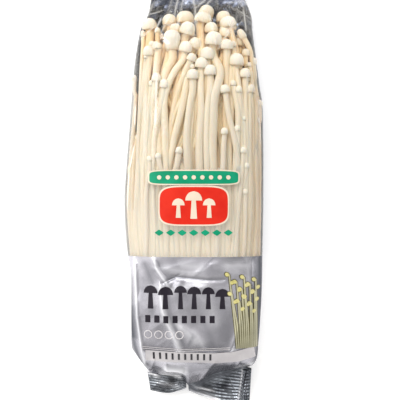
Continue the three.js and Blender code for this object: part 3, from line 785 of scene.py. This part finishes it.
def window():
    """The front half of the skin from the print line to the top seal, in rows that lie closer where it is
    slack. Its painted sheen, for the film's reflection of the bright surround, is h exp(-d / 1.6) in
    patches, where d is the distance in from the side and h is less at the right, away from the light, fading
    where the wall turns under; a little more low down; and most along the painted glints. Its painted shade
    rises towards the right side, away from the light."""
    taut_y = np.linspace(PRINT_LINE, DENSE_FROM, 150, endpoint=False)
    y = np.r_[taut_y, np.linspace(DENSE_FROM, WINDOW_TOP, 230)][:, None]
    turn = np.linspace(0.0, np.pi, 210)[None, :]
    points = bag_point(turn, y, SKIN_INSET)
    x, z = points[..., 0], points[..., 2]
    centre, half = room(y, SKIN_INSET)
    inwards = half - np.abs(x - centre)
    raised = film_front(x, y + 0 * turn) - front_height(x, y + 0 * turn, SKIN_INSET)
    z += raised * np.clip(np.sin(turn) * SIDE_RISE, 0, 1)
    patches = 0.78 + 0.22 * np.sin(y / 4.1 + 0.5 * z) * np.sin(y / 9.7 + 1)
    # Painted sheen for the film's reflection at the sides, stronger on the left, towards the light.
    painted_sheen = np.where(x < centre, 0.68, 0.12) * np.exp(-inwards / 1.6) * grade(y, 64, -20) * patches
    painted_sheen *= grade(rounded(np.sin(turn)), 0.1, 0.3)
    painted_sheen = np.maximum(painted_sheen, 0.2 * grade(y, 20, -30) * np.maximum(grade(x, 26, -14), 0.2))
    painted_sheen = np.maximum(painted_sheen, ridges(x, y, PAINTED_GLINTS + slack_fan(SLACK_GLINTS, 77, 50)))
    faces = [grid_faces(*x.shape)[:, ::-1]]
    piece = new_piece("window", points, faces, clear_finish(), "window_film")
    store(piece, "painted_sheen", np.clip(painted_sheen, 0, 1))
    # Painted shade in the film towards the right side, away from the light.
    store(piece, "right_shade", grade(x, 22.5, 4.5) * grade(y, 58, -20))


window()

# ---- The silver film ----
# The printed part of the same web: metallised silver behind the mushrooms and round the bag's lower end,
# folded where the slack film wraps the base of the bunch.

# Folds of the silver front: x0, y0 to x1, y1, then height and half width.
FOLDS = [
    (-24.7, -29.5, -23.8, -55, 1.4, 1.0), (-23.8, -55, -21.2, -76, 1.5, 1.1),
    (-17.2, -29, -15.3, -35, 0.9, 0.9), (-15.3, -35, -11.6, -40.3, 1.0, 1.0),
    (-14, -42.5, -12.8, -53, 1.2, 1.6), (-12.8, -53, -5.9, -69, 1.2, 1.7),
    (-11.4, -40, -7.4, -38, -0.8, 0.7), (-7.4, -38, 5.6, -39.2, -0.7, 0.8),
    (5.6, -39.2, 11.5, -39.2, -0.7, 0.8), (-6.5, -44, 3, -42.6, 0.5, 2.8),
    (-12, -35, 0, -31.5, 0.35, 2.2), (2, -36.5, 11, -31, 0.25, 1.6), (24.2, -30.5, 24.2, -39.5, 0.6, 0.8),
    (19.6, -57, 15.5, -69, 0.8, 1.1), (-4, -59.5, 3.8, -66, 0.7, 1.6),
    (-11.5, -79.8, -5, -80.2, 3.2, 2.8), (-26, -56, -22.6, -64, 0.7, 0.8),
    (-19, -81, -17.4, -75, 0.8, 0.8), (-9, -81, -7.6, -77, 0.6, 0.8), (5, -81, 9, -75, 0.6, 1.0),
    (18, -80, 20, -73.5, 0.7, 0.9),
]
# Painted shade in its folds and along its darker sides, in the same terms, with a share of darkness for
# height.
SHADES = [
    (-27.4, -40, -26.8, -52, 0.75, 1.3), (-27.2, -52, -26, -64, 1, 2.2),
    (-25.8, -66, -22.4, -79, 0.8, 1.4), (-20.5, -33, -17.5, -40, 0.45, 1.4),
    (-10.8, -40.4, -7.2, -38.4, 0.7, 0.5), (-7.2, -38.4, 12, -39.6, 0.65, 0.4),
    (-10.6, -53, -4.6, -66, 0.5, 0.7), (28, -29, 28, -52, 0.95, 3.2), (27.8, -52, 27.4, -76, 0.9, 2.2),
    (4.6, -58, 8, -67, 0.25, 1.6), (-0.6, -63.5, -1.6, -65.6, 0.5, 0.6), (12, -50, 12, -66, 0.15, 4.0),
    (-20, -77.5, -15.5, -80, 0.6, 1.8), (-4, -84, -2, -89, 0.95, 1.6), (-1, -79.5, 13, -77.5, 0.5, 3),
    (-8, -82.6, -4, -82.4, 0.6, 0.8), (14, -80, 22, -78.6, 0.3, 0.8), (7.6, -30.6, 1, -37.4, 0.4, 0.5),
    (-14.6, -33, -10.6, -37.2, 0.3, 1.3), (-19, -44, -17.4, -52, 0.25, 1.6),
]
# Painted highlights along its creases and raised parts, in the same terms.
PAINTED_HIGHLIGHTS = [
    (-25.1, -28.5, -24.1, -55.6, 0.9, 0.55), (-24.1, -55.6, -22, -69.7, 0.9, 0.55),
    (-22, -69.7, -21.4, -75, 0.8, 0.55), (-17.4, -28.9, -15.4, -35, 0.9, 0.6),
    (-15.4, -35, -11.7, -40.4, 1, 0.6), (-14.1, -44, -12.9, -53, 0.8, 1.2),
    (-12.9, -53, -5.9, -68.9, 0.8, 1.2), (-7, -57.5, 1, -65, 0.5, 2.0), (-12, -34.6, 0, -36.2, 0.35, 1.8),
    (-6, -42.4, 4.5, -41, 0.25, 1.7), (-13.4, -42.8, -11.4, -43.6, 0.8, 1.1),
    (22, -30, 23, -39, 0.3, 1.2), (19.8, -57, 17.4, -68.9, 0.5, 1.5), (-11.5, -79.2, -5.2, -79.8, 1, 2.4),
    (19, -78.4, 24.4, -77, 0.8, 0.8), (-4.5, -33, 3, -34.2, 0.45, 2.6), (14, -33.2, 23, -33.6, 0.3, 2.6),
    (-2, -41.2, 4, -41.2, 0.5, 1.2), (0.4, -61.5, 3.4, -66.5, 0.5, 1.7), (6, -47, 9, -57, 0.25, 2.4),
]
# The line of the silver film's lower end, y along x, where the seals take over.
LOWER_END = [
    (-26, -81), (-12, -82.6), (-5, -83.6), (-3, -86.6), (-1.6, -88), (1.3, -86.6), (4.8, -84), (7.8, -82.3),
    (15.3, -80.6), (28, -78.8),
]
SLEEVE_END = -82  # where the sleeve's rows would end unbent
BEND_FROM = -76  # from here down they bend to that line


def silver_finish(name, dark, light, rough, cloud_size):
    """Metallised print: a grey metal sheen with a faint cloudy tone and a fine crumple, painted pale and
    less of a metal along its painted highlights, and a dull dark where its folds carry painted shade."""
    material, tree, output = new_material(name)
    tone = mottle(tree, {"Scale": 1 / cloud_size, "Detail": 4}, [(0.35, dark), (0.68, light)])
    pale, shade = reader(tree, "pale"), reader(tree, "shade")
    highlighted = colour_mix(tree)
    highlighted.inputs["B"].default_value = (0.88, 0.88, 0.92, 1)
    sheen = add(tree, "MapRange", {"To Min": 0.85, "To Max": 0.25})
    place, fine = add(tree, "TexCoord"), add(tree, "TexNoise", {"Scale": 420})
    bump = add(tree, "Bump", {"Strength": 0.1, "Distance": 0.0004})
    surface = add(tree, "BsdfPrincipled", {"Roughness": rough})
    painted_dark = add(tree, "BsdfDiffuse", {"Color": (0.10, 0.105, 0.12, 1)})
    shaded = add(tree, "MixShader")
    join(tree, (tone, "Color", highlighted, "A"), (pale, "Fac", highlighted, "Factor"),
         (highlighted, "Result", surface, "Base Color"), (pale, "Fac", sheen, "Value"),
         (sheen, "Result", surface, "Metallic"), (place, "Object", fine, "Vector"),
         (fine, "Fac", bump, "Height"), (bump, "Normal", surface, "Normal"), (shade, "Fac", shaded, "Fac"),
         (surface, "BSDF", shaded, 1), (painted_dark, "BSDF", shaded, 2), (shaded, "Shader", output, "Surface"))
    return material


def silver_front(x, y):
    """The silver front's height over (x, y): the form, its folds and low facets, and at the print line the
    window's own height."""
    below = grade(y, PRINT_LINE, -3)
    low = 1.0 * crushed(x, y, 14, 81) + 0.16 * crushed(x, y, 5, 82)
    form = front_height(x, y, SKIN_INSET)
    return form + below * (ridges(x, y, FOLDS) + low - 0.8) + (1 - below) * (film_front(x, y) - form)


def mark(piece, x, y, shades, highlights, share=1):
    """Stores the painted shade of the dark folds and the painted highlights of the creases that lie over
    (x, y), each times a share.
    """
    for key, lines in (("shade", shades), ("pale", highlights)):
        store(piece, key, np.clip(ridges(x, y, lines), 0, 1) * share)


def sleeve():
    """The lower end of the bag, the whole way round, its front lifted by the folds and its rows bent to end
    on the lower line. Its marks fade out over the sides."""
    y = np.linspace(SLEEVE_END, PRINT_LINE, 240)[:, None]
    turn = np.linspace(0, 2 * np.pi, 400, endpoint=False)[None, :]
    points = bag_point(turn, y, SKIN_INSET)
    x = points[..., 0]
    raised = silver_front(x, y + 0 * turn) - front_height(x, y + 0 * turn, SKIN_INSET)
    points[..., 2] += raised * np.clip(np.sin(turn) * SIDE_RISE, 0, 1) * grade(y, SLEEVE_END, 2)
    points[..., 1] += (follow(LOWER_END, x) - SLEEVE_END) * grade(y, BEND_FROM, SLEEVE_END - BEND_FROM) ** 2
    faces = [grid_faces(*x.shape, closed=True)[:, ::-1]]
    piece = new_piece("silver_sleeve", points, faces, SILVER, "printed_film")
    mark(piece, x, points[..., 1], SHADES, PAINTED_HIGHLIGHTS, np.clip(np.sin(turn) * 5, 0, 1))


def back():
    """The back half of the skin above the print line, crumpled where it runs to the top seal."""
    y = np.linspace(PRINT_LINE, WINDOW_TOP, 300)[:, None]
    turn = np.linspace(np.pi, 2 * np.pi, 180)[None, :]
    points = bag_point(turn, y, SKIN_INSET)
    x = points[..., 0]
    slack = grade(y, 56, 16) * grade(y, WINDOW_TOP, -3)
    crumple = 2.0 * crushed(x, y + 0 * turn, 8, 91, 2) + 0.6 * crushed(x, y + 0 * turn, 2.6, 92)
    crumple = crumple + ridges(x, y, slack_fan(SLACK_RIDGES, 93, 40))
    points[..., 2] += crumple * slack * np.clip(-np.sin(turn) * SIDE_RISE, 0, 1)
    faces = [grid_faces(*x.shape)[:, ::-1]]
    new_piece("silver_back", points, faces, SHADED_BACK_SILVER, "printed_film")


SILVER = silver_finish("silver_print", (0.32, 0.315, 0.35), (0.56, 0.55, 0.60), 0.25, 0.017)
# The back web is the same silver, painted much darker and bluer as the shade it lies in behind the
# mushrooms.
SHADED_BACK_SILVER = silver_finish("silver_back", (0.085, 0.095, 0.13), (0.19, 0.21, 0.27), 0.22, 0.017)
sleeve()
back()

# ---- The crimped seals ----
# At each end the web is pressed flat and welded between ribbed jaws, which leaves rows of fine ridges. The
# lower seal has buckled into two lobes, of which the right one fans out; the upper seal is straight.
RIB_HEIGHT = 0.22
SEAL_THICKNESS = 0.5
SEAL_COLUMNS = 100
ROWS_TO_A_RIB = 8


def seal(name, inner, outer, rib_count, seed):
    """A ribbed sheet between its inner and outer edges, each given by points (x, y, z) from left to right:
    rows between the two, lifted by the ribs' triangle wave, a slow sine of 0.5 mm and facets of 0.6 mm, as a
    closed sheet with a thickness."""
    across = np.linspace(0, 1, SEAL_COLUMNS)
    edges = []
    for edge in (inner, outer):
        places = np.linspace(0, 1, len(edge))
        edges.append(np.stack([follow(list(zip(places, axis)), across) for axis in zip(*edge)], -1))
    v = np.linspace(0, 1, rib_count * ROWS_TO_A_RIB + 1)[:, None]
    middle = edges[0] + (edges[1] - edges[0]) * v[..., None]
    phase = np.random.default_rng(seed).uniform(0, 1)
    wave = 0.5 * np.sin(2 * np.pi * (across * 1.3 + phase)) + 0.6 * crushed(across * 25, v * 9, 5, seed, 2.2)
    middle[..., 2] += wave + RIB_HEIGHT * (np.abs((v * rib_count + 0.3 * wave) % 1 - 0.5) * 4 - 1)
    half_thick = np.array([0, 0, SEAL_THICKNESS / 2])
    loop = np.concatenate([middle + half_thick, (middle - half_thick)[:, ::-1]], axis=1)
    faces = [grid_faces(*loop.shape[:2], closed=True)]
    piece = new_piece(name, loop, faces, DARKENED_SEAL_SILVER, "printed_film")
    mark(piece, loop[..., 0], loop[..., 1], SEAL_SHADES, SEAL_HIGHLIGHTS)


# Their painted shade in the hollows and their painted highlights along the creases, in the terms of the
# silver front's.
SEAL_SHADES = [
    (2, -86.4, 5, -84.2, 0.9, 1.4), (5, -84.2, 14.5, -81.6, 0.9, 1.9), (-3, -86.5, 0, -88.6, 0.9, 1.1),
    (-4.6, -83.4, -3, -87.6, 0.9, 1.2),
]
SEAL_HIGHLIGHTS = [
    (-1.4, -89.6, 9, -93, 0.8, 0.8), (21, -80.4, 19.2, -94, 0.6, 0.35), (-19.4, -81.4, -17, -82.4, 0.8, 0.8),
    (-8.6, -82.6, -6.4, -83.2, 0.9, 0.7), (1.6, -88, 6.4, -89.2, 0.7, 0.5), (-14, -86, -8, -88, 0.3, 1.2),
]
# The seals' silver is painted darker, as a painted reflection of dark surroundings in their crimped metal.
DARKENED_SEAL_SILVER = silver_finish("seal_silver", (0.04, 0.043, 0.05), (0.27, 0.29, 0.32), 0.12, 0.006)
seal("seal_lower_left", [(-20.4, -81, 8), (-11, -82.6, 8.5), (-3.4, -83.2, 8)],
     [(-19.2, -89.6, 5), (-11, -91, 4.5), (-3.4, -88.8, 4)], 7, 101)
seal("seal_lower_right", [(-3, -73.5, 6.6), (25, -79.2, 8.8)],
     [(-2.4, -89.2, 7.6), (4, -91.8, 7), (12, -93.9, 6.4), (18, -94.4, 6), (24, -94.4, 6)], 12, 102)
seal("seal_lower_fold", [(20.6, -80.2, 10.2), (25, -79.4, 9.8)],
     [(18.8, -94.2, 8), (24.2, -94.2, 7.6)], 10, 104)
seal("seal_upper", [(-18.4, 83, 7), (0, 83, 7), (21.6, 83, 7)],
     [(-18.6, 94.4, 7), (0, 94.4, 7), (21.4, 94.4, 7)], 7, 103)

# ---- The printing ----
# Flat inks on the outside of the film: a red panel and green bars over the stems, and dark, pale and olive
# figures on the silver. The motifs are plain ones: mushrooms, discs, diamonds, dashes and sprigs.

def ink(name, dark, light):
    """Glossy ink, its strength a little uneven."""
    material, tree, output = new_material(name)
    tone = mottle(tree, {"Scale": 140}, [(0.3, dark), (0.7, light)])
    surface = add(tree, "BsdfPrincipled", {"Roughness": 0.35, "Specular IOR Level": 0.2})
    join(tree, (tone, "Color", surface, "Base Color"), (surface, "BSDF", output, "Surface"))
    return material


def band(spine, half_widths, columns=5):
    """A flat patch that follows a spine of (x, y) points: rows across it at right angles, each half width to
    both sides."""
    spine = np.asarray(spine, float)
    heading = np.gradient(spine, axis=0)
    heading /= np.linalg.norm(heading, axis=1)[:, None]
    aside = np.stack([heading[:, 1], -heading[:, 0]], -1)
    reach = np.broadcast_to(half_widths, len(spine))[:, None, None]
    return spine[:, None] + aside[:, None] * (np.linspace(-1, 1, columns)[None, :, None] * reach)


def oval(x, y, half_long, half_wide, heading=0.0, power=2.0, rows=24, columns=9):
    """A patch |a / long|^p + |b / wide|^p <= 1 turned by heading: p = 2 an ellipse, 1 a diamond, 5 a rounded
    panel."""
    share = np.sin(np.linspace(-1, 1, rows) * math.pi / 2) * 0.999
    along = share * half_long
    spine = np.stack([x + along * math.cos(heading), y + along * math.sin(heading)], -1)
    return band(spine, half_wide * (1 - np.abs(share) ** power) ** (1 / power), columns)


def stroke(points, width, rows=24):
    """A line through points, of one width, in columns about 0.4 mm apart."""
    points = np.asarray(points, float)
    reach = np.r_[0, np.cumsum(np.linalg.norm(np.diff(points, axis=0), axis=1))]
    at = np.linspace(0, reach[-1], rows)
    spine = np.stack([np.interp(at, reach, points[:, axis]) for axis in (0, 1)], -1)
    return band(spine, width / 2, 3 + int(width / 0.4))


def ring(x, y, radius, width):
    """A line of one width round a circle."""
    angle = np.linspace(0, 2 * math.pi, 25)
    return band(np.stack([x + radius * np.cos(angle), y + radius * np.sin(angle)], -1), width / 2, 3)


def figure(x, foot, height, cap):
    """A plain mushroom as two patches: a stem that narrows upwards, and a half-round cap."""
    rise = np.linspace(foot, foot + height, 12)
    stem = band(np.stack([0 * rise + x, rise], -1), np.linspace(0.2, 0.13, 12) * cap, 4)
    share = np.linspace(0, 0.999, 12)
    crown = foot + height + share * cap * 0.55
    return [stem, band(np.stack([0 * share + x, crown], -1), cap / 2 * np.sqrt(1 - share**2), 9)]


def print_layer(name, patches, lift, material, web):
    """Joins patches into one printed piece that lies a lift above the web's own height."""
    film, slot, node = web
    points, faces, base = [], [], 0
    for patch in patches:
        rows, columns = patch.shape[:2]
        height = film(patch[..., 0], patch[..., 1]) + lift
        points.append(np.concatenate([patch, height[..., None]], -1).reshape(-1, 3))
        faces.append(grid_faces(rows, columns)[:, ::-1] + base)
        base += rows * columns
    new_piece(name, np.concatenate(points), faces, material, node)


RED = ink("red_ink", (0.62, 0.014, 0.005), (0.72, 0.026, 0.009))
GREEN = ink("green_ink", (0.0, 0.25, 0.12), (0.006, 0.32, 0.17))
CREAM = ink("cream_ink", (0.72, 0.60, 0.46), (0.80, 0.69, 0.56))
DARK = ink("dark_ink", (0.014, 0.011, 0.018), (0.022, 0.018, 0.027))
YELLOW = ink("yellow_ink", (0.62, 0.56, 0.20), (0.70, 0.64, 0.30))
OLIVE = ink("olive_ink", (0.09, 0.08, 0.03), (0.15, 0.13, 0.05))
STRAW = ink("straw_ink", (0.42, 0.40, 0.27), (0.52, 0.50, 0.35))
MILKY = ink("milky_ink", (0.62, 0.59, 0.61), (0.72, 0.69, 0.70))
CLEAR_WEB = (film_front, "clear_film", "window_film")
SILVER_WEB = (silver_front, "silver_print", "printed_film")
PANEL_Y, BAR_Y, DIAMOND_Y = -8.4, 3.4, -19.6  # the middles of the window's prints
SPRIG_FOOT, SPRIG_KNEE = -68.6, -58


def window_prints():
    """Over the stems: a pale-edged green bar of dots, a pale-edged red panel with three mushrooms, and a row
    of green diamonds."""
    edging = [oval(0, PANEL_Y, 14.8, 8.4, 0, 4.5, 50, 30), oval(0, BAR_Y, 19.2, 3.2, 0, 6, 50, 12)]
    print_layer("print_edging", edging, 0.06, CREAM, CLEAR_WEB)
    print_layer("print_red", [oval(0, PANEL_Y, 14.2, 7.8, 0, 4.5, 50, 30)], 0.1, RED, CLEAR_WEB)
    bars = [oval(0, BAR_Y, 18.6, 2.7, 0, 6, 50, 12)]
    bars += [oval(x, DIAMOND_Y, 1.9, 1.3, 0, 1.1) for x in np.linspace(-14.4, 14.4, 7)]
    print_layer("print_green", bars, 0.1, GREEN, CLEAR_WEB)
    motifs = figure(-6.4, -13.4, 5.2, 5.2) + figure(0, -13.8, 7.6, 7) + figure(6.4, -13.4, 5.2, 5.2)
    motifs += [oval(x, BAR_Y, 0.9, 0.9) for x in np.linspace(-14.4, 14.4, 9)]
    print_layer("print_motifs", motifs, 0.14, CREAM, CLEAR_WEB)


def silver_prints():
    """On the silver: a row of dark mushrooms over a row of dashes, pale rings, two fine lines, a pale band
    with ticks, and olive sprigs with yellow buds at the right."""
    draw = np.random.default_rng(61)
    dark = []
    for x in np.linspace(-18, 12, 6):
        dark += figure(x + draw.uniform(-0.5, 0.5), -51.4, draw.uniform(5, 7), draw.uniform(5, 6.2))
    dark += [stroke([(x, -55.8), (x + 2.1, -55.8)], 3.0, 6) for x in np.linspace(-20.4, 6.6, 8)]
    dark += [stroke([(x, -70.9 - 0.03 * x), (x, -74.1 - 0.03 * x)], 0.9, 8) for x in np.linspace(-17, 7, 10)]
    print_layer("print_dark", dark, 0.2, DARK, SILVER_WEB)
    pale = [ring(x, -62.4, 1.6, 0.4) for x in np.linspace(-19.2, -6, 4)]
    pale += [stroke([(-21.7, y), (-5.8, y - 0.8), (15.2, y - 0.2)], 0.3, 60) for y in (-67.9, -68.7)]
    pale += [stroke([(-20.6, -72.1), (-5.1, -72.7), (8.9, -73.2), (17.4, -72.6), (26, -70.6)], 5.2, 130)]
    print_layer("print_pale", pale, 0.14, MILKY, SILVER_WEB)
    stems, linings, buds = [], [], []
    for k in range(11):
        foot, top = 18.2 + 0.86 * k, -37 - 13 * (0.618 * k % 1)
        lean = 0.28 * k - 3 + draw.uniform(-0.5, 0.5)
        line = [(foot, SPRIG_FOOT), (foot + 0.3 * lean, SPRIG_KNEE), (foot + lean, top)]
        linings.append(stroke(line, 1.1, 50))
        stems.append(stroke(line, 0.6, 50))
        across, along = zip(*line)
        for y, side in ((top, -1), (top - 3.4, 1)):
            buds.append((np.interp(y, along, across) + side * 0.9, y, side * 0.6))
    linings += [oval(x, y, 1.2, 1.02, turn) for x, y, turn in buds]
    print_layer("print_sprigs", linings, 0.2, OLIVE, SILVER_WEB)
    print_layer("print_buds", [oval(x, y, 0.92, 0.76, turn) for x, y, turn in buds], 0.3, YELLOW, SILVER_WEB)
    print_layer("print_stems", stems, 0.25, STRAW, SILVER_WEB)


window_prints()
silver_prints()
